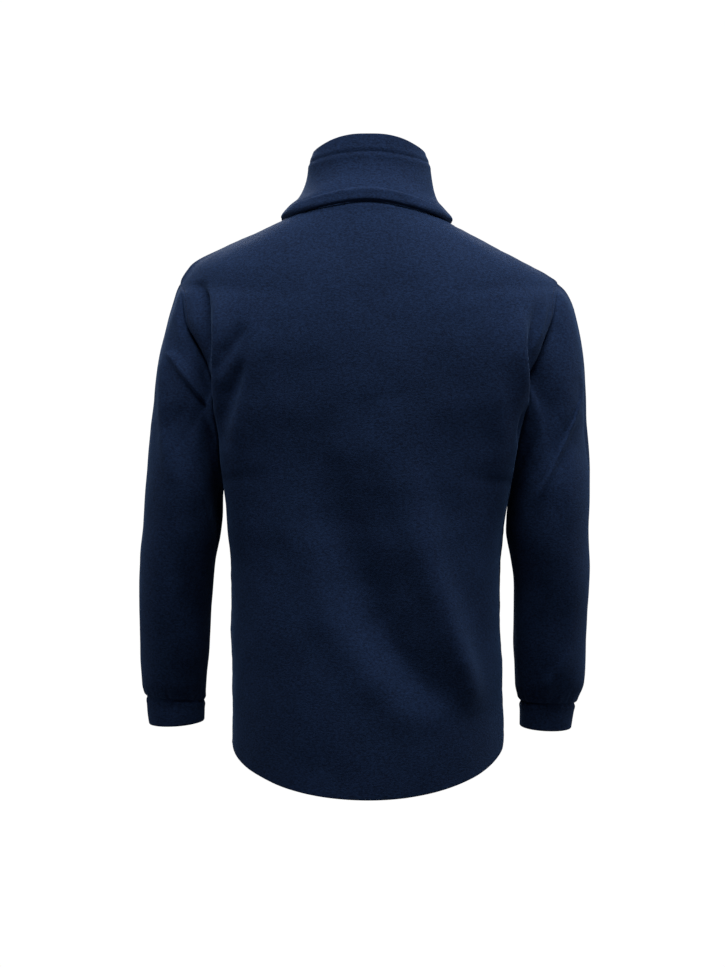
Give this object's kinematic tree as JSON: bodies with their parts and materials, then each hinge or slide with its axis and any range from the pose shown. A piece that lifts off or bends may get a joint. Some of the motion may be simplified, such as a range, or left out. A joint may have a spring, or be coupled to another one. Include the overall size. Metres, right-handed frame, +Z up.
{
  "type": "fleece zip jacket",
  "caption": "Long-sleeved fleece jacket with a stand-up collar, a full-length front zip, banded cuffs and a dropped back hem, in its worn hollow form.",
  "frame": {"origin": "the middle of the neck at the height where the shoulders carry the jacket", "axes": "+Z up, the jacket faces -Y, +X is the wearer's left"},
  "size_m": [0.5873, 0.2713, 0.845],
  "materials": {
    "fleece": "brushed pile, matt",
    "zip_tape": "woven tape, matt",
    "zip_coil": "satin nylon",
    "zip_metal": "satin paint"
  },
  "bodies": {
    "jacket": {"back": "fleece", "front_left": "fleece", "front_right": "fleece", "sleeve_left": "fleece", "sleeve_right": "fleece", "cuff_left": "fleece", "cuff_right": "fleece", "collar": "fleece", "collar_band": "fleece", "zip_tape_left": "zip_tape", "zip_tape_right": "zip_tape", "zip_chain": "zip_coil", "zip_box": "zip_coil", "zip_slider": "zip_metal"},
    "pull_tab": {"zip_pull": "zip_metal"}
  },
  "joints": [
    {"name": "pull_hinge", "type": "hinge", "parent": "jacket", "child": "pull_tab", "pos_m": [0, -0.08563, 0.02699], "axis": [-1, 0, 0], "range_deg": [0, 150]}
  ]
}
